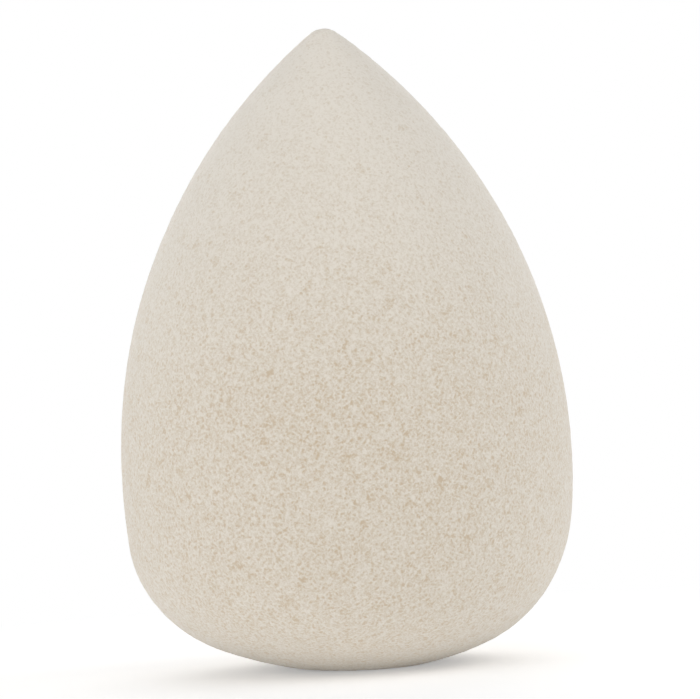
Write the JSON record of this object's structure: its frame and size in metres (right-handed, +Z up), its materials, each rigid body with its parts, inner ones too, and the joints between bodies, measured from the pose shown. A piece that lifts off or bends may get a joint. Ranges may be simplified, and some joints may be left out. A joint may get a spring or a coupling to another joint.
{
  "type": "makeup sponge",
  "caption": "Teardrop makeup sponge of soft open-cell foam, with a blunt tip for small areas and a domed base for blending over wide areas.",
  "frame": {"origin": "centre of the small flat on the underside that the sponge stands on", "axes": "+Z up along the sponge's axis, from the base to the tip; X and Y are alike, because the body is round"},
  "size_m": [0.0424, 0.0424, 0.06],
  "materials": {
    "foam": "matte open-cell foam"
  },
  "bodies": {
    "root": {"sponge_body": "foam"}
  },
  "joints": []
}
